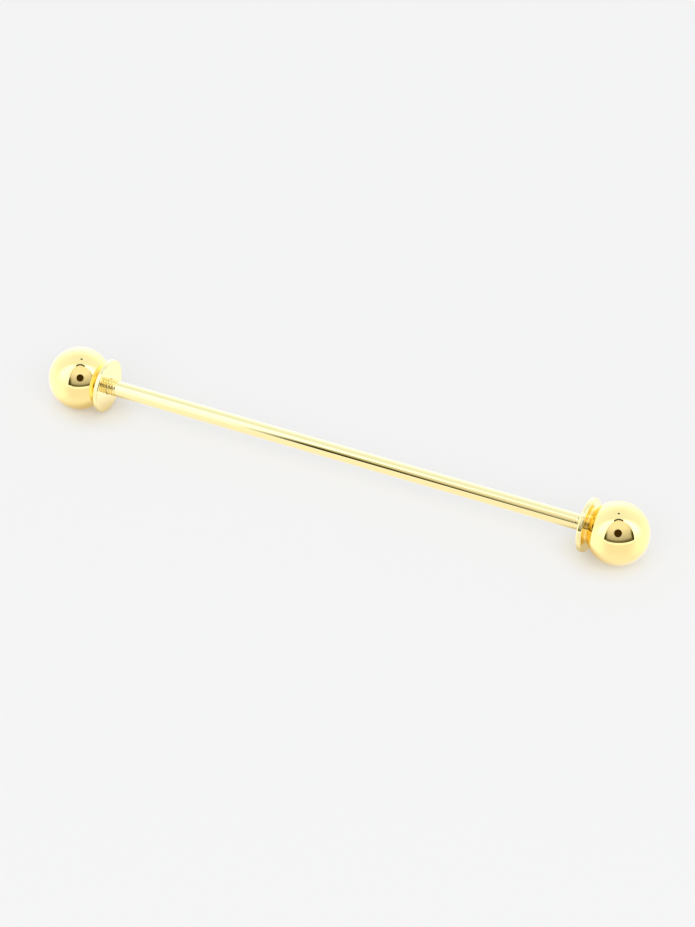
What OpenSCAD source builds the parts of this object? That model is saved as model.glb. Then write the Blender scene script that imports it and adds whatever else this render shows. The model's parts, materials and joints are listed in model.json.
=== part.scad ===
// A collar bar: a slim rod with a flanged ball screwed on to each end.
// The rod lies along X with its middle at the origin, and Z is up.
// All sizes are in millimetres.

/* [Rod] */
// Clear length of the rod between the two flanges, where the collar lies
clear_l = 49; // [30:0.5:80]
// Diameter of the rod and of the crests of its threads
rod_d = 1.5; // [1.2:0.05:2]
// Distance from one thread crest to the next
thread_pitch = 0.3; // [0.2:0.05:0.4]
// Depth of the thread grooves
thread_depth = 0.15; // [0.08:0.01:0.2]
// Length of thread that shows beside each flange when the ends are screwed home
thread_show = 1.2; // [0.6:0.1:3]
// How far the thread stands out past its bush, inside the ball
thread_past_bush = 0.3; // [0.1:0.05:0.5]
// Size of the bevel on each end of the rod
rod_bevel = 0.15; // [0.05:0.05:0.3]

/* [Balls] */
// Diameter of each ball
ball_d = 6; // [5.5:0.1:8]
// Width of the flat ring on which each ball sits against its flange
seat_w = 0.27; // [0.15:0.01:0.5]

/* [Flanges] */
// Diameter of each flange
flange_d = 5.15; // [4:0.05:5.4]
// Thickness of each flange
flange_t = 0.52; // [0.3:0.02:1]
// Size of the bevel on the edges of each flange
flange_bevel = 0.05; // [0.02:0.01:0.12]

/* [Threaded bushes] */
// Wall of the bush inside each ball
bush_wall = 0.32; // [0.25:0.01:0.5]
// Length of the bush inside each ball
bush_l = 2.6; // [1.5:0.1:3]

/* [Fits] */
// Running clearance round each thread and round each bush
run_gap = 0.03; // [0.02:0.01:0.08]
// End clearance behind each bush and behind each end of the rod
end_gap = 0.05; // [0.03:0.01:0.1]

/* [Hidden] */
$fn = 96;

// Radii, from the rod outwards
rod_r = rod_d / 2;
thread_hole_r = rod_r + run_gap;
bush_r = thread_hole_r + bush_wall;
bush_hole_r = bush_r + run_gap;
seat_r = bush_hole_r + seat_w;
ball_r = ball_d / 2;
flange_r = flange_d / 2;

// Places along an end's own axis, which starts at the ball's centre and runs towards the rod's middle
seat_z = sqrt(ball_r * ball_r - seat_r * seat_r);
collar_face_z = seat_z + flange_t;
bush_top_z = seat_z - end_gap;
bush_bottom_z = bush_top_z - bush_l;
rod_end_z = bush_bottom_z - thread_past_bush;
pilot_bottom_z = rod_end_z - end_gap;
thread_end_z = collar_face_z + thread_show;

// Places along X
ball_x = clear_l / 2 + collar_face_z;
rod_half_l = ball_x - rod_end_z;
thread_l = thread_end_z - rod_end_z;

// The crest of a thread is flat over this share of the pitch
crest_share = 1 / 8;
thread_turns = floor((thread_l - rod_bevel) / thread_pitch);
// How far a cutting tool runs past the face that it opens
overcut = 1;

gold = [0.96, 0.84, 0.52];
brass = [0.85, 0.68, 0.36];

// Puts an end's own axis in place: side is -1 for the left end and 1 for the right end
module at_end(side) {
    translate([side * ball_x, 0, 0]) rotate([0, -90 * side, 0]) children();
}

// Half of the rod's outline, from its middle to its end, with one notch for each turn of the thread
function half_rod_outline() = [
    [0, 0],
    [rod_r, 0],
    for (turn = [thread_turns - 1:-1:0]) each thread_notch(rod_half_l - rod_bevel - turn * thread_pitch),
    [rod_r, rod_half_l - rod_bevel],
    [rod_r - rod_bevel, rod_half_l],
    [0, rod_half_l],
];

// One groove and the flat crest after it, ending at the height top
function thread_notch(top) = [
    [rod_r, top - thread_pitch],
    [rod_r - thread_depth, top - thread_pitch * (1 + crest_share) / 2],
    [rod_r, top - thread_pitch * crest_share],
];

module half_rod() {
    rotate_extrude() polygon(half_rod_outline());
}

// The rod, with a thread on each end
module rod() {
    color(gold) union() {
        rotate([0, 90, 0]) half_rod();
        rotate([0, -90, 0]) half_rod();
    }
}

// A ball with a flat seat for its flange, a bore for its bush and a pilot hole for the rod's end
module ball() {
    difference() {
        sphere(r = ball_r);
        translate([0, 0, seat_z]) cylinder(r = ball_r, h = ball_r);
        translate([0, 0, bush_bottom_z - end_gap]) cylinder(r = bush_hole_r, h = bush_l + 2 * end_gap + overcut);
        translate([0, 0, pilot_bottom_z]) cylinder(r = thread_hole_r, h = bush_l);
    }
}

// Half of a flange's cross-section: a flat ring with bevelled outer edges
module flange() {
    rotate_extrude() polygon([
        [thread_hole_r, seat_z],
        [flange_r - flange_bevel, seat_z],
        [flange_r, seat_z + flange_bevel],
        [flange_r, collar_face_z - flange_bevel],
        [flange_r - flange_bevel, collar_face_z],
        [thread_hole_r, collar_face_z],
    ]);
}

// The bush that takes the thread, held between the bore of the ball and the flange
module threaded_bush() {
    translate([0, 0, bush_bottom_z]) difference() {
        cylinder(r = bush_r, h = bush_l);
        translate([0, 0, -overcut]) cylinder(r = thread_hole_r, h = bush_l + 2 * overcut);
    }
}

module left_ball() {
    color(gold) at_end(-1) ball();
}

module right_ball() {
    color(gold) at_end(1) ball();
}

module left_flange() {
    color(gold) at_end(-1) flange();
}

module right_flange() {
    color(gold) at_end(1) flange();
}

module left_threaded_bush() {
    color(brass) at_end(-1) threaded_bush();
}

module right_threaded_bush() {
    color(brass) at_end(1) threaded_bush();
}

rod();
left_ball();
right_ball();
left_flange();
right_flange();
left_threaded_bush();
right_threaded_bush();
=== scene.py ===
"""The looks of a collar bar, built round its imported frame, in metres and degrees."""
import json
import math

import bmesh
import bpy
from mathutils import Matrix, Vector


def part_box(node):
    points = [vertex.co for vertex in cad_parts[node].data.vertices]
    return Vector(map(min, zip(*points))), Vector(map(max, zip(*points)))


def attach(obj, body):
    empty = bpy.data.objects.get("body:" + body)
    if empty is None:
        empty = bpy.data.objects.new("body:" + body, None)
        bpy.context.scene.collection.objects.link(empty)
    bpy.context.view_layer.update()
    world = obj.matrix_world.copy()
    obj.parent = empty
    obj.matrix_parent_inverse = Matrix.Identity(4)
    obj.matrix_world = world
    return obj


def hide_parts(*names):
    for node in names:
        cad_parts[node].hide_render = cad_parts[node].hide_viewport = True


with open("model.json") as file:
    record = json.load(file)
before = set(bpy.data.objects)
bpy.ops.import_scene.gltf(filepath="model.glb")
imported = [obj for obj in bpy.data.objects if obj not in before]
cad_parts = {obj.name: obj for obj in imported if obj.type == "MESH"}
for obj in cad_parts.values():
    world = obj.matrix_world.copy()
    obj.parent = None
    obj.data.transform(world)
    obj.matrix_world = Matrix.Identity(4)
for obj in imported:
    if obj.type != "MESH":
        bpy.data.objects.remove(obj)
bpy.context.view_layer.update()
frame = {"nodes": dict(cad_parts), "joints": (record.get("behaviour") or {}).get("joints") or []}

MM = 0.001
SIDES = {"left": -1, "right": 1}

# Sizes read from the frame, at the right end
rod_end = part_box("rod")[1].x
rod_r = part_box("rod")[1].z
ball_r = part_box("right_ball")[1].z
ball_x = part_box("right_ball")[1].x - ball_r
seat_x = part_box("right_ball")[0].x
collar_face_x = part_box("right_flange")[0].x
flange_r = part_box("right_flange")[1].z
floor_z = -ball_r

# The same gap is before the bush, behind it, and behind the rod's end
end_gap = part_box("right_threaded_bush")[0].x - seat_x
bore_end_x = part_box("right_threaded_bush")[1].x + end_gap
pilot_end_x = rod_end + end_gap

PLANE_TOLERANCE = 0.001 * MM


def bore_radius(node, x):
    """Radius of the smallest circle of a node's points on the plane at x."""
    points = [v.co for v in frame["nodes"][node].data.vertices if abs(v.co.x - x) < PLANE_TOLERANCE]
    return min(math.hypot(p.y, p.z) for p in points)


thread_hole_r = bore_radius("right_flange", collar_face_x)
bush_hole_r = bore_radius("right_ball", seat_x)

# Thread: the pitch is one turn of the screw joints
joints = {joint["name"]: joint for joint in frame["joints"]}
screw_travel = joints["right_end_travel"]["range_m"][1]
screw_turns = joints["right_end_turn"]["range_deg"][1] / 360
thread_pitch = screw_travel / screw_turns
THREAD_DEPTH = 0.12 * MM
THREAD_SHOW = 1.2 * MM
thread_start_x = collar_face_x - THREAD_SHOW
# The thread starts shallow and gets deeper over the run-out, slowly at first, and ends in a lead-in
THREAD_RUN_OUT = 4 * MM
THREAD_RUN_OUT_POWER = 1.25
THREAD_LEAD_IN = 0.3 * MM

# Radii of the rounded edges, and of the fillet of solder between each ball and its flange
ROD_EDGE_R = 0.15 * MM
FLANGE_EDGE_R = 0.14 * MM
FLANGE_BORE_EDGE_R = 0.03 * MM
BALL_BORE_EDGE_R = 0.025 * MM
SOLDER_R = 0.1 * MM

# How finely the round forms are meshed. THREAD_STEPS is the number of rings in one turn of the thread.
SEGMENTS = 192
BALL_STEPS = 120
SOLDER_STEPS = 20
EDGE_STEPS = 10
THREAD_STEPS = 12
ROD_RINGS = 24
# A ring smaller than this is one point on the axis
SMALLEST_RING_R = 1e-9

# What a stretch of an outline faces, as an angle
PLUS_X = 0
OUTWARD = 90
MINUS_X = 180
INWARD = 270


# Outlines: a list of (x, r, x part of the normal, r part of the normal), turned round the X axis

def arc(centre_x, centre_r, radius, start, end, steps):
    """Points on a round stretch that bulges out of the metal, from one angle to another."""
    points = []
    for i in range(steps + 1):
        a = math.radians(start + (end - start) * i / steps)
        nx = math.cos(a)
        nr = math.sin(a)
        points.append((centre_x + radius * nx, centre_r + radius * nr, nx, nr))
    return points


def hollow_arc(centre_x, centre_r, radius, start, end, steps):
    """Points on a round stretch that is hollowed into the metal. The angles are what the metal faces."""
    bulge = arc(centre_x, centre_r, radius, start, end, steps)
    return [(2 * centre_x - x, 2 * centre_r - r, nx, nr) for x, r, nx, nr in bulge]


def square_corner(x, r, radius, from_side, to_side, hollow=False):
    """A rounded right-angled corner between two sides, each named by the angle it faces."""
    a = math.radians(from_side)
    b = math.radians(to_side)
    out = 1 if hollow else -1
    centre_x = x + out * radius * (math.cos(a) + math.cos(b))
    centre_r = r + out * radius * (math.sin(a) + math.sin(b))
    bend = hollow_arc if hollow else arc
    return bend(centre_x, centre_r, radius, from_side, to_side, EDGE_STEPS)


def mirrored(outline, side):
    """The outline of the right end, or its mirror image for the left end."""
    return [(side * x, r, side * nx, nr) for x, r, nx, nr in outline]


def plain_radius(x, r, a):
    """Radius of a plain round surface, with its slopes along x and round the axis."""
    return r, 0, 0


def ring_points(x, r, nx, nr, radius_at):
    """The points that one point of an outline gives, all round, and their normals."""
    if r < SMALLEST_RING_R:
        return [Vector((x, 0, 0))], [Vector((nx, 0, 0))]
    points = []
    normals = []
    for k in range(SEGMENTS):
        a = 2 * math.pi * k / SEGMENTS
        radial = Vector((0, math.cos(a), math.sin(a)))
        around = Vector((0, -math.sin(a), math.cos(a)))
        radius, slope_x, slope_a = radius_at(x, r, a)
        normal = Vector((nx - slope_x, 0, 0)) + nr * radial - around * (slope_a / radius)
        points.append(Vector((x, 0, 0)) + radius * radial)
        normals.append(normal.normalized())
    return points, normals


def bridge(bm, low, high):
    """Faces between two rings, of which one may be a single point."""
    for k in range(SEGMENTS):
        a = low[k % len(low)]
        b = low[(k + 1) % len(low)]
        c = high[(k + 1) % len(high)]
        d = high[k % len(high)]
        bm.faces.new(list(dict.fromkeys((a, b, c, d))))


def turned(name, outline, closed, radius_at):
    """A piece turned round the X axis, with the outline's own normals. A closed outline is a loop."""
    bm = bmesh.new()
    rings = []
    normals = []
    for x, r, nx, nr in outline:
        ring, ring_normals = ring_points(x, r, nx, nr, radius_at)
        rings.append([bm.verts.new(point) for point in ring])
        normals += ring_normals
    for low, high in zip(rings, rings[1:]):
        bridge(bm, low, high)
    if closed:
        bridge(bm, rings[-1], rings[0])
    bmesh.ops.recalc_face_normals(bm, faces=bm.faces)
    for face in bm.faces:
        face.smooth = True
    mesh = bpy.data.meshes.new(name)
    bm.to_mesh(mesh)
    bm.free()
    mesh.normals_split_custom_set_from_vertices(normals)
    piece = bpy.data.objects.new(name, mesh)
    bpy.context.scene.collection.objects.link(piece)
    return piece


# Materials

# The metals' noise: patches to a metre, and how much detail the patches and the marks have
PATCH_SCALE = 700.0
PATCH_DETAIL = 3.0
MARK_DETAIL = 2.0


def node_material(name):
    """An empty node material and two short ways: to add a node to it, and to link its sockets."""
    material = bpy.data.materials.new(name)
    material.use_nodes = True
    tree = material.node_tree
    tree.nodes.clear()

    def add(kind, **values):
        node = tree.nodes.new(kind)
        for key, value in values.items():
            if key in node.inputs:
                node.inputs[key].default_value = value
            else:
                setattr(node, key, value)
        return node

    return material, add, tree.links.new


def metal(name, base, tint, roughness, mark_scale, mark_height):
    """A metal with fine marks, whose colour and roughness change from place to place.

    The colour goes from base to tint, and roughness holds the least and the most. mark_scale gives the
    number of marks to a metre along X, Y and Z.
    """
    material, add, link = node_material(name)
    place = add("ShaderNodeTexCoord")
    shader = add("ShaderNodeBsdfPrincipled", Metallic=1.0)
    output = add("ShaderNodeOutputMaterial")
    link(shader.outputs["BSDF"], output.inputs["Surface"])

    # Soft patches where the polish is a little less keen
    patches = add("ShaderNodeTexNoise", Scale=PATCH_SCALE, Detail=PATCH_DETAIL)
    link(place.outputs["Object"], patches.inputs["Vector"])
    polish = add("ShaderNodeMapRange")
    polish.inputs["To Min"].default_value = roughness[0]
    polish.inputs["To Max"].default_value = roughness[1]
    link(patches.outputs["Fac"], polish.inputs["Value"])
    link(polish.outputs["Result"], shader.inputs["Roughness"])

    # A faint change of colour from place to place
    colour = add("ShaderNodeMix", data_type="RGBA")
    colour.inputs["A"].default_value = (*base, 1)
    colour.inputs["B"].default_value = (*tint, 1)
    link(patches.outputs["Fac"], colour.inputs["Factor"])
    link(colour.outputs["Result"], shader.inputs["Base Color"])

    # Polishing marks
    stretch = add("ShaderNodeMapping", Scale=mark_scale)
    link(place.outputs["Object"], stretch.inputs["Vector"])
    marks = add("ShaderNodeTexNoise", Scale=1.0, Detail=MARK_DETAIL)
    link(stretch.outputs["Vector"], marks.inputs["Vector"])
    bump = add("ShaderNodeBump", Strength=1.0, Distance=mark_height)
    link(marks.outputs["Fac"], bump.inputs["Height"])
    link(bump.outputs["Normal"], shader.inputs["Normal"])
    return material


GOLD = (1.0, 0.79, 0.3)
GOLD_TINT = (1.0, 0.78, 0.285)
PALE_GOLD = (0.935, 0.79, 0.355)
PALE_GOLD_TINT = (0.935, 0.78, 0.34)
BRASS = (0.82, 0.60, 0.30)
BRASS_TINT = (0.70, 0.48, 0.22)

rod_gold = metal("rod_gold", PALE_GOLD, PALE_GOLD_TINT, roughness=(0.02, 0.05),
                 mark_scale=(300, 9000, 9000), mark_height=0.0001 * MM)
ball_gold = metal("ball_gold", GOLD, GOLD_TINT, roughness=(0.01, 0.04),
                  mark_scale=(2500, 2500, 2500), mark_height=0.0002 * MM)
flange_gold = metal("flange_gold", PALE_GOLD, PALE_GOLD_TINT, roughness=(0.02, 0.05),
                    mark_scale=(12000, 900, 900), mark_height=0.0001 * MM)
turned_brass = metal("turned_brass", BRASS, BRASS_TINT, roughness=(0.18, 0.38),
                     mark_scale=(16000, 600, 600), mark_height=0.002 * MM)


# Pieces

def ball_outline():
    """Ball, from its outer pole round to the seat, and in through the bush's bore and the pilot hole."""
    # The fillet of solder touches the ball, where the two meet, and the flange
    solder_x = seat_x + SOLDER_R
    solder_r = math.sqrt((ball_r + SOLDER_R) ** 2 - (ball_x - solder_x) ** 2)
    meet = math.degrees(math.atan2(solder_r, solder_x - ball_x))
    solder = hollow_arc(solder_x, solder_r, SOLDER_R, meet, PLUS_X, SOLDER_STEPS)
    return [
        *arc(ball_x, 0, ball_r, PLUS_X, meet, BALL_STEPS),
        *solder[1:],
        *square_corner(seat_x, bush_hole_r, BALL_BORE_EDGE_R, MINUS_X, INWARD),
        *square_corner(bore_end_x, bush_hole_r, BALL_BORE_EDGE_R, INWARD, MINUS_X, hollow=True),
        *square_corner(bore_end_x, thread_hole_r, BALL_BORE_EDGE_R, MINUS_X, INWARD),
        *square_corner(pilot_end_x, thread_hole_r, BALL_BORE_EDGE_R, INWARD, MINUS_X, hollow=True),
        (pilot_end_x, 0, -1, 0),
    ]


def flange_outline():
    """Flange: a flat ring with rounded edges."""
    return [
        *square_corner(seat_x, flange_r, FLANGE_EDGE_R, PLUS_X, OUTWARD),
        *square_corner(collar_face_x, flange_r, FLANGE_EDGE_R, OUTWARD, MINUS_X),
        *square_corner(collar_face_x, thread_hole_r, FLANGE_BORE_EDGE_R, MINUS_X, INWARD),
        *square_corner(seat_x, thread_hole_r, FLANGE_BORE_EDGE_R, INWARD, PLUS_X + 360),
    ]


def rod_outline():
    """Rod, end to end, with close rings where its threads are."""
    thread_l = rod_end - ROD_EDGE_R - thread_start_x
    thread_rings = round(thread_l / thread_pitch * THREAD_STEPS)
    right_x = [thread_start_x + thread_l * i / thread_rings for i in range(thread_rings + 1)]
    left_x = [-x for x in reversed(right_x)]
    middle_x = [thread_start_x * (2 * i / ROD_RINGS - 1) for i in range(1, ROD_RINGS)]
    walls = [(x, rod_r, 0, 1) for x in left_x + middle_x + right_x]
    right_corner = square_corner(rod_end, rod_r, ROD_EDGE_R, OUTWARD, PLUS_X)[1:]
    left_corner = mirrored(reversed(right_corner), SIDES["left"])
    return [(-rod_end, 0, -1, 0), *left_corner, *walls, *right_corner, (rod_end, 0, 1, 0)]


def rod_radius(x, r, a):
    """Radius of the threaded rod at x and angle a, with its slopes along x and round the rod."""
    run_out_share = max(0, (abs(x) - thread_start_x) / THREAD_RUN_OUT)
    lead_in_share = (rod_end - abs(x)) / THREAD_LEAD_IN
    depth = THREAD_DEPTH * min(1, run_out_share ** THREAD_RUN_OUT_POWER, lead_in_share)
    if depth <= 0:
        return plain_radius(x, r, a)
    phase = 2 * math.pi * x / thread_pitch - a
    radius = r - depth * (0.5 - 0.5 * math.cos(phase))
    slope = -depth * 0.5 * math.sin(phase)
    return radius, slope * 2 * math.pi / thread_pitch, -slope


def add_piece(node, body, outline, closed, material, radius_at=plain_radius):
    """The finished piece that replaces a CAD node and rides on a body."""
    piece = turned(f"{node}_finish", outline, closed, radius_at)
    piece.data.materials.append(material)
    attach(piece, body)
    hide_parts(node)


add_piece("rod", "rod", rod_outline(), False, rod_gold, rod_radius)
for side_name, side in SIDES.items():
    ball = mirrored(ball_outline(), side)
    flange = mirrored(flange_outline(), side)
    add_piece(f"{side_name}_ball", f"{side_name}_end", ball, False, ball_gold)
    add_piece(f"{side_name}_flange", f"{side_name}_end", flange, True, flange_gold)
    bush = frame["nodes"][f"{side_name}_threaded_bush"]
    bush.data.materials.clear()
    bush.data.materials.append(turned_brass)


# Camera, from the photograph's frame. The sensor's width spans the picture's longer side, its height.
PHOTO_W_PX = 695
PHOTO_H_PX = 927
FOCAL_PX = 4400
ROD_MIDDLE_PX = (343.1, 453.95)
SENSOR_WIDTH = 36
CAMERA_DISTANCE = 0.4111
CAMERA_AZIMUTH = 24.8
CAMERA_ELEVATION = 38.8
# How near and how far the camera sees
CAMERA_NEAR = 0.01
CAMERA_FAR = 10

azimuth = math.radians(CAMERA_AZIMUTH)
elevation = math.radians(CAMERA_ELEVATION)
right = Vector((math.cos(azimuth), math.sin(azimuth), 0))
toward = Vector((math.sin(azimuth), -math.cos(azimuth), 0))
back = toward * math.cos(elevation) + Vector((0, 0, math.sin(elevation)))
up = back.cross(right)


def make_camera():
    """The camera, which stands a little to one side so that the rod's middle is off the centre."""
    data = bpy.data.cameras.new("camera")
    data.sensor_width = SENSOR_WIDTH
    data.lens = FOCAL_PX * SENSOR_WIDTH / PHOTO_H_PX
    data.clip_start = CAMERA_NEAR
    data.clip_end = CAMERA_FAR
    camera = bpy.data.objects.new("camera", data)
    bpy.context.scene.collection.objects.link(camera)
    across_px = ROD_MIDDLE_PX[0] - PHOTO_W_PX / 2
    down_px = ROD_MIDDLE_PX[1] - PHOTO_H_PX / 2
    stand = (back - right * (across_px / FOCAL_PX) + up * (down_px / FOCAL_PX)) * CAMERA_DISTANCE
    turn = Matrix((right, up, back)).transposed().to_4x4()
    camera.matrix_world = Matrix.Translation(stand) @ turn
    bpy.context.scene.camera = camera
    return camera


camera = make_camera()


# Stage: a pale floor, soft light, and the white tent that the polished metal mirrors.
# A pair of values named _SPAN says where a change starts and where it is complete.

# Colours of light for a brightness of 1: from the cloth above, the lit table below, the room outside,
# its painted shade, and the lens
CLOTH = Vector((0.83, 0.93, 1.19))
TABLE = Vector((0.98, 1.0, 1.19))
GREY = Vector((1.0, 1.0, 1.12))
SHADED_OLIVE = Vector((1.0, 0.97, 0.45))
BROWN = Vector((1.0, 0.55, 0.12))

# Share of the mirrored floor's brightness that the object can shade
SHADED_SHARE = 0.5

# The floor: the matt colour that takes shade, and the glow added to it. The metal mirrors another floor,
# which takes shade in the same way and lets the light of the table behind it through.
FLOOR_REACH = 2.0
SEEN_MATT = (0.3, 0.3, 0.3)
SEEN_GLOW = (0.558, 0.56, 0.562)
MIRRORED_MATT = (0.9 * SHADED_SHARE, 0.9 * SHADED_SHARE, 0.95 * SHADED_SHARE)
CLEAR = (1, 1, 1)

# Close to each end a warmer matt colour takes over most of the floor, over an ellipse: painted warm shade.
# There the floor loses its glow, or the table's light that it lets through, so the object's real shade on
# the matt part shows in full, and its warm colour is painted light from the gold. It has a reach along the
# rod and to either side, and a core, as a share of that reach, where it is strongest. Each floor has the
# colour, its strength in the core, and how far the core's middle is from the ball's, inwards.
CLOSE_REACH = (5.5 * MM, 4.5 * MM)
CLOSE_CORE = 0.3
# Painted warm light from the gold, on the seen floor near each end, where the matt floor takes real shade in
# full
SEEN_WARM_SHADE = (0.75, 0.73, 0.67)
SEEN_CLOSE_MOST = 0.65
SEEN_CLOSE_SHIFT = {"left": 1.4 * MM, "right": 1.4 * MM}
# Painted warm shade under each end, on the floor that the metal mirrors
MIRRORED_WARM_SHADE = (0.92, 0.74, 0.44)
MIRRORED_CLOSE_MOST = 0.8
MIRRORED_CLOSE_SHIFT = {"left": 0.8 * MM, "right": 2.8 * MM}

WORLD_STRENGTH = 0.75
FRONT_LIGHT_SIZE = (3.0, 1.6)
FRONT_LIGHT_POWER = 26.0

# The tent is a globe, whose rows of points end this far above and below the horizon
TENT_DISTANCE = 0.9
TENT_TOP = 89.9
TENT_ROWS = 61
TENT_STEPS_ROUND = 120

# Brightness of the table: in front, what it gains at each side, what it loses at the back close to the
# object, and straight below
TABLE_FRONT = 1.15
TABLE_SIDE_GAIN = {"left": 0.45, "right": 0.34}
TABLE_SIDE_SPAN = (25, 85)
TABLE_BACK_LOSS = 0.45
TABLE_BACK_SPAN = (120, 170)
TABLE_CLOSE_SPAN = (10, 35)
TABLE_BELOW = 1.22
TABLE_BELOW_SPAN = (25, 65)

# Brightness of the walls beside the opening: at their foot, what each gains higher up, the share of that
# gain nearest the front, and the share that is lost at the top
WALL_FOOT = 1.2
WALL_GAIN = {"left": 0.9, "right": 1.15}
WALL_RISE_SPAN = (-10, 30)
WALL_INNER_SHARE = 0.55
WALL_INNER_SPAN = (50, 80)
WALL_TOP_LOSS = 0.8
WALL_TOP_SPAN = (60, 88)

# Brightness of the cloth round the back: at the sides, what it gains low at the back, and what it loses
# above
CLOTH_SIDE = 1.25
CLOTH_BACK_GAIN = 0.7
CLOTH_BACK_SPAN = (120, 180)
CLOTH_LOW_SPAN = (10, 50)
CLOTH_TOP_LOSS = 0.08
CLOTH_TOP_SPAN = (30, 70)

# Where the walls end in the cloth, where the table ends in both, and where the table's colour ends
WALL_END_SPAN = (80, 100)
HORIZON_SPAN = (-8, 8)
COLOUR_SPAN = (-8, 30)

# The opening in the front of the tent, through which the camera looks: its corners, as places in the
# studio, and how far the middles of its edges bow out
OPENING_BOTTOM = 0.017
OPENING_TOP = 0.7
OPENING_CORNERS = {
    "lower_left": (-0.174, 0.156, OPENING_BOTTOM),
    "upper_left": (-0.165, 0.105, OPENING_TOP),
    "upper_right": (0.215, 0.11, OPENING_TOP),
    "lower_right": (0.223, 0.156, OPENING_BOTTOM),
}
OPENING_LEFT_BOW = 0.02
OPENING_RIGHT_BOW = 0.07
OPENING_TOP_BOW = 0.055
OPENING_EDGE_STEPS = 40
OPENING_ROWS = 50

# The hole for the lens in the middle of what shows through the opening, and what shows behind that hole
HOLE_DISTANCE = 0.25
HOLE_R = 0.07
ROOM_DISTANCE = 0.5
ROOM_REACH = 0.25

# Brightness of the room outside: level with the object, what each degree above adds, and up to where
ROOM_LEVEL = 0.27
ROOM_GAIN = 0.015
ROOM_GAIN_END = 52

# Painted shade in the opening's corners: their angles round and above, how far they reach, and how dark they
# are
CORNER_ROUND = {"left": 50, "right": 58}
CORNER_ROUND_REACH = {"left": 18, "right": 12}
CORNER_ABOVE = 14
CORNER_ABOVE_REACH = 26
CORNER_SPAN = (0.35, 1)
CORNER_DARKNESS = 0.9

# Painted shade along the bottom of the opening, by the angle above
BOTTOM_SPAN = (9, 17)
BOTTOM_DARKNESS = 0.6

# Painted shade along the edges, by the share of the way out from the hole and by the angle round
EDGE_SPAN = (0.8, 0.95)
EDGE_ROUND_SPAN = (20, 35)
EDGE_DARKNESS = 0.4

# Soft lower part of the left edge, by the share of the way out and by the angles round and above
SOFT_SPAN = (0.88, 1)
SOFT_ROUND_SPAN = (30, 40)
SOFT_ABOVE_SPAN = (30, 45)

# Dark things: the lens, the bar along the top of the opening and the dot in the roof
DISC_STEPS = 48
LENS_R = 0.1
LENS_STRENGTH = 0.05
TOP_BAR_WIDTH = 0.068
TOP_BAR_DROP = 0.01
TOP_BAR_STEPS = 16
TOP_BAR_STRENGTH = 0.06
TOP_DOT_PLACE = (0.045, -0.29, 0.7)
TOP_DOT_R = 0.046
TOP_DOT_STRENGTH = 0.03

SQUARE = ((-1, -1), (1, -1), (1, 1), (-1, 1))


def spot(across, near, height):
    """A place in the studio: across to the camera's right, near to its side, height above the floor."""
    return right * across + toward * near + Vector((0, 0, floor_z + height))


def direction(round_from_front, above):
    """The direction at an angle round from the camera's side and an angle above the horizon."""
    turn = math.radians(round_from_front)
    rise = math.radians(above)
    flat = right * math.sin(turn) + toward * math.cos(turn)
    return flat * math.cos(rise) + Vector((0, 0, math.sin(rise)))


def bearing(point):
    """The angles round and above at which a place is seen from the rod's middle."""
    across = point.dot(right)
    near = point.dot(toward)
    round_from_front = math.degrees(math.atan2(across, near))
    above = math.degrees(math.atan2(point.z, math.hypot(across, near)))
    return round_from_front, above


def side_of(round_from_front):
    """The name of the side that an angle is on, and how far round it is."""
    return "left" if round_from_front < 0 else "right", abs(round_from_front)


def smooth(span, value):
    """0 before a span of values, 1 after it, and a smooth step between."""
    start, end = span
    t = min(1, max(0, (value - start) / (end - start)))
    return t * t * (3 - 2 * t)


def bowed(start, finish, bow, t):
    """The place on a bowed line at a share t of the way along it."""
    return start.lerp(finish, t) + bow * 4 * t * (1 - t)


def glow_material():
    """Light of the colour and strength held at each point of the mesh."""
    material, add, link = node_material("glow")
    colour = add("ShaderNodeAttribute", attribute_name="glow")
    shader = add("ShaderNodeEmission", Strength=1.0)
    output = add("ShaderNodeOutputMaterial")
    link(colour.outputs["Color"], shader.inputs["Color"])
    link(shader.outputs["Emission"], output.inputs["Surface"])
    return material


glow = glow_material()


def stage_sheet(name, points, faces, material):
    """A sheet that is part of the stage."""
    mesh = bpy.data.meshes.new(name)
    mesh.from_pydata([tuple(p) for p in points], [], faces)
    mesh.materials.append(material)
    thing = bpy.data.objects.new(name, mesh)
    bpy.context.scene.collection.objects.link(thing)
    return thing


def show_only_in_metal(thing):
    """Hides a thing from everything but glossy reflections."""
    thing.visible_camera = False
    thing.visible_diffuse = False
    thing.visible_shadow = False
    thing.visible_transmission = False
    thing.visible_volume_scatter = False


def mirrored_card(name, points, faces, colours):
    """A glowing sheet, with a colour for each point, that is seen only in the polished metal."""
    thing = stage_sheet(name, points, faces, glow)
    attribute = thing.data.color_attributes.new("glow", "FLOAT_COLOR", "POINT")
    for i, colour in enumerate(colours):
        attribute.data[i].color = (*colour, 1)
    show_only_in_metal(thing)


def mirrored_disc(name, centre, along, radius, colour):
    """A round card of one colour, which lies along the camera's right and one more direction."""
    angles = [2 * math.pi * i / DISC_STEPS for i in range(DISC_STEPS)]
    points = [centre + (right * math.cos(a) + along * math.sin(a)) * radius for a in angles]
    mirrored_card(name, points, [tuple(range(DISC_STEPS))], [colour] * DISC_STEPS)


def grid_faces(rows, columns, wrap):
    """Faces between rows of points, each with a point for every column. The rows may close on themselves."""
    faces = []
    for j in range(rows - 1):
        low = j * columns
        high = low + columns
        for i in range(columns if wrap else columns - 1):
            k = (i + 1) % columns
            faces.append((low + i, low + k, high + k, high + i))
    return faces


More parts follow.
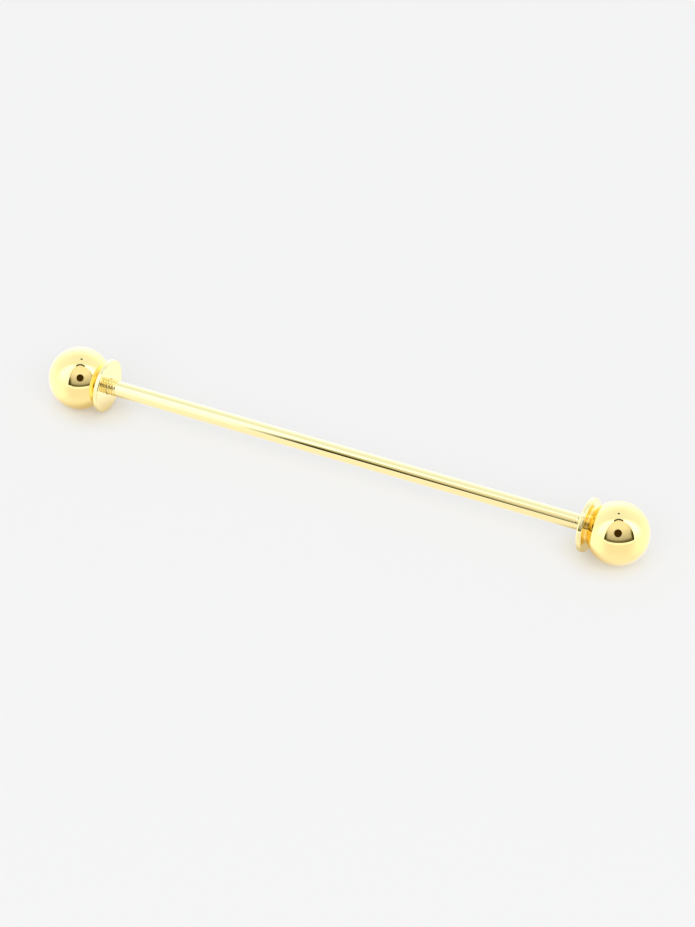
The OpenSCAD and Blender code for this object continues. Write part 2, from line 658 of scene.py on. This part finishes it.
def close_to(add, link, place, x, most):
    """The share of painted warm shade on the floor under x: most there, fading to 0 at the edge of an
    ellipse round it.
    """
    offset = add("ShaderNodeVectorMath", operation="SUBTRACT")
    offset.inputs[1].default_value = (x, 0, 0)
    link(place, offset.inputs[0])
    scaled = add("ShaderNodeVectorMath", operation="DIVIDE")
    scaled.inputs[1].default_value = (*CLOSE_REACH, 1)
    link(offset.outputs["Vector"], scaled.inputs[0])
    distance = add("ShaderNodeVectorMath", operation="LENGTH")
    link(scaled.outputs["Vector"], distance.inputs[0])
    fade = add("ShaderNodeMapRange", interpolation_type="SMOOTHSTEP")
    fade.inputs["From Min"].default_value = CLOSE_CORE
    fade.inputs["To Min"].default_value = most
    fade.inputs["To Max"].default_value = 0
    link(distance.outputs["Value"], fade.inputs["Value"])
    return fade.outputs["Result"]


def floor_sheet(name, matt_colour, open_shader, open_colour, warm_shade_colour, close_most, close_shift):
    """A floor that adds a matt colour, which takes shade, to an open shader, which takes none.

    Close to the ends most of it is matt alone, in a warm colour of its own: painted warm shade and warm
    light.
    """
    material, add, link = node_material(name)
    place = add("ShaderNodeTexCoord")
    close = add("ShaderNodeMath", operation="ADD")
    for i, (side_name, side) in enumerate(SIDES.items()):
        x = side * (ball_x - close_shift[side_name])
        link(close_to(add, link, place.outputs["Object"], x, close_most), close.inputs[i])
    # Painted warm shade near the ends, on a matt part that also takes the object's real shade
    warm_shade_matt = add("ShaderNodeBsdfDiffuse", Color=(*warm_shade_colour, 1))
    matt = add("ShaderNodeBsdfDiffuse", Color=(*matt_colour, 1))
    unshaded = add(open_shader, Color=(*open_colour, 1))
    both = add("ShaderNodeAddShader")
    blend = add("ShaderNodeMixShader")
    output = add("ShaderNodeOutputMaterial")
    link(matt.outputs["BSDF"], both.inputs[0])
    link(unshaded.outputs[0], both.inputs[1])
    link(close.outputs["Value"], blend.inputs["Fac"])
    link(both.outputs["Shader"], blend.inputs[1])
    link(warm_shade_matt.outputs["BSDF"], blend.inputs[2])
    link(blend.outputs["Shader"], output.inputs["Surface"])
    corners = [(FLOOR_REACH * i, FLOOR_REACH * j, floor_z) for i, j in SQUARE]
    return stage_sheet(name, corners, [(0, 1, 2, 3)], material)


def make_floor():
    """The floor that the camera sees, and the shade on it as the metal mirrors it."""
    seen = floor_sheet("floor", SEEN_MATT, "ShaderNodeEmission", SEEN_GLOW,
                       SEEN_WARM_SHADE, SEEN_CLOSE_MOST, SEEN_CLOSE_SHIFT)
    seen.visible_glossy = False
    shade = floor_sheet("mirrored_floor", MIRRORED_MATT, "ShaderNodeBsdfTransparent", CLEAR,
                        MIRRORED_WARM_SHADE, MIRRORED_CLOSE_MOST, MIRRORED_CLOSE_SHIFT)
    show_only_in_metal(shade)


def make_world():
    """Even white light from all sides."""
    world = bpy.data.worlds.new("studio")
    bpy.context.scene.world = world
    world.use_nodes = True
    background = world.node_tree.nodes["Background"]
    background.inputs["Color"].default_value = (1, 1, 1, 1)
    background.inputs["Strength"].default_value = WORLD_STRENGTH


def make_front_light():
    """Soft light from above the camera's side, which puts the shade behind the object."""
    data = bpy.data.lights.new("front_light", "AREA")
    data.shape = "RECTANGLE"
    data.size, data.size_y = FRONT_LIGHT_SIZE
    data.energy = FRONT_LIGHT_POWER
    light = bpy.data.objects.new("front_light", data)
    bpy.context.scene.collection.objects.link(light)
    light.location = spot(across=0, near=1.1, height=0.75)
    light.rotation_euler = light.location.to_track_quat("Z", "Y").to_euler()
    light.visible_glossy = False


def tent_strength(round_from_front, above):
    """Brightness of the tent and of the table under it, in one direction from the rod."""
    side_name, side = side_of(round_from_front)
    table = TABLE_FRONT + TABLE_SIDE_GAIN[side_name] * smooth(TABLE_SIDE_SPAN, side)
    table -= TABLE_BACK_LOSS * smooth(TABLE_BACK_SPAN, side) * smooth(TABLE_CLOSE_SPAN, -above)
    table += (TABLE_BELOW - table) * smooth(TABLE_BELOW_SPAN, -above)
    gain_share = WALL_INNER_SHARE + (1 - WALL_INNER_SHARE) * smooth(WALL_INNER_SPAN, side)
    gain = WALL_GAIN[side_name] * gain_share * smooth(WALL_RISE_SPAN, above)
    wall = WALL_FOOT + gain * (1 - WALL_TOP_LOSS * smooth(WALL_TOP_SPAN, above))
    low_share = 1 - smooth(CLOTH_LOW_SPAN, above)
    cloth = CLOTH_SIDE + CLOTH_BACK_GAIN * smooth(CLOTH_BACK_SPAN, side) * low_share
    cloth -= CLOTH_TOP_LOSS * smooth(CLOTH_TOP_SPAN, above)
    upper = wall + (cloth - wall) * smooth(WALL_END_SPAN, side)
    strength = table + (upper - table) * smooth(HORIZON_SPAN, above)
    # The mirrored floor gives the rest of the light from below
    return strength - SHADED_SHARE if above < 0 else strength


def tent_colour(round_from_front, above):
    """Light of the tent and of the table under it, in one direction from the rod."""
    return TABLE.lerp(CLOTH, smooth(COLOUR_SPAN, above)) * tent_strength(round_from_front, above)


def make_tent():
    """A globe round the object: the cloth above, and the lit table below."""
    points = []
    colours = []
    for j in range(TENT_ROWS):
        above = TENT_TOP * (2 * j / (TENT_ROWS - 1) - 1)
        for i in range(TENT_STEPS_ROUND):
            round_from_front = 360 * i / TENT_STEPS_ROUND - 180
            points.append(direction(round_from_front, above) * TENT_DISTANCE)
            colours.append(tent_colour(round_from_front, above))
    mirrored_card("tent", points, grid_faces(TENT_ROWS, TENT_STEPS_ROUND, True), colours)


def opening_outline():
    """The opening's edge, as closely spaced places, from its lower left corner up and round."""
    places = {name: spot(*corner) for name, corner in OPENING_CORNERS.items()}
    edges = [
        ("lower_left", "upper_left", right * -OPENING_LEFT_BOW),
        ("upper_left", "upper_right", toward * -OPENING_TOP_BOW),
        ("upper_right", "lower_right", right * OPENING_RIGHT_BOW),
        ("lower_right", "lower_left", Vector((0, 0, 0))),
    ]
    outline = []
    for start, finish, bow in edges:
        for i in range(OPENING_EDGE_STEPS):
            outline.append(bowed(places[start], places[finish], bow, i / OPENING_EDGE_STEPS))
    return outline


def room_strength(above):
    """Brightness of the room outside, which is brighter higher up."""
    return ROOM_LEVEL + ROOM_GAIN * min(above, ROOM_GAIN_END)


def lit_share(round_from_front, above, out):
    """The share of the room's brightness that its painted shade leaves, in one direction from the rod.

    out is the share of the way from the hole to the opening's edge.
    """
    side_name, side = side_of(round_from_front)
    corner_round = (side - CORNER_ROUND[side_name]) / CORNER_ROUND_REACH[side_name]
    corner_above = (above - CORNER_ABOVE) / CORNER_ABOVE_REACH
    corner = 1 - smooth(CORNER_SPAN, math.hypot(corner_round, corner_above))
    bottom = 1 - smooth(BOTTOM_SPAN, above)
    edge = smooth(EDGE_SPAN, out) * smooth(EDGE_ROUND_SPAN, side)
    return (1 - CORNER_DARKNESS * corner) * (1 - BOTTOM_DARKNESS * bottom) * (1 - EDGE_DARKNESS * edge)


def opening_colour(point, out):
    """Light at a point in the opening, where out is the share of the way from the hole to the edge."""
    round_from_front, above = bearing(point)
    lit = lit_share(round_from_front, above, out)
    # Painted shade: the room is darker and more olive where less of it is lit
    room = SHADED_OLIVE.lerp(GREY, lit) * room_strength(above) * lit
    side_name, side = side_of(round_from_front)
    if side_name == "right":
        return room
    soft = smooth(SOFT_SPAN, out) * smooth(SOFT_ROUND_SPAN, side) * (1 - smooth(SOFT_ABOVE_SPAN, above))
    return room.lerp(tent_colour(round_from_front, above), soft)


def make_opening():
    """What shows through the opening, from the hole for the lens out to the opening's edge."""
    outline = opening_outline()
    points = []
    colours = []
    for j in range(OPENING_ROWS):
        out = j / (OPENING_ROWS - 1)
        for place in outline:
            sideways = place - back * place.dot(back)
            rim = back * HOLE_DISTANCE + sideways.normalized() * HOLE_R
            point = rim.lerp(place, out)
            points.append(point)
            colours.append(opening_colour(point, out))
    mirrored_card("opening", points, grid_faces(OPENING_ROWS, len(outline), True), colours)


def make_room():
    """What shows round the lens, through the hole."""
    points = [back * ROOM_DISTANCE + (right * i + up * j) * ROOM_REACH for i, j in SQUARE]
    colours = [GREY * room_strength(bearing(point)[1]) for point in points]
    mirrored_card("room", points, [(0, 1, 2, 3)], colours)


def make_lens():
    """Dark disc where the camera stands."""
    mirrored_disc("lens", camera.matrix_world.translation, up, LENS_R, BROWN * LENS_STRENGTH)


def make_top_bar():
    """Dark bar just under the top of the opening, bowed like it."""
    start = spot(*OPENING_CORNERS["upper_left"])
    finish = spot(*OPENING_CORNERS["upper_right"])
    points = []
    for i in range(TOP_BAR_STEPS + 1):
        top = bowed(start, finish, toward * -OPENING_TOP_BOW, i / TOP_BAR_STEPS)
        place = top - Vector((0, 0, TOP_BAR_DROP))
        points += [place, place - toward * TOP_BAR_WIDTH]
    colours = [GREY * TOP_BAR_STRENGTH] * len(points)
    mirrored_card("top_bar", points, grid_faces(TOP_BAR_STEPS + 1, 2, False), colours)


def make_top_dot():
    """Small dark spot in the tent's roof."""
    mirrored_disc("top_dot", spot(*TOP_DOT_PLACE), toward, TOP_DOT_R, GREY * TOP_DOT_STRENGTH)


make_floor()
make_world()
make_front_light()
make_tent()
make_opening()
make_room()
make_lens()
make_top_bar()
make_top_dot()

bpy.context.scene.view_settings.view_transform = "Standard"
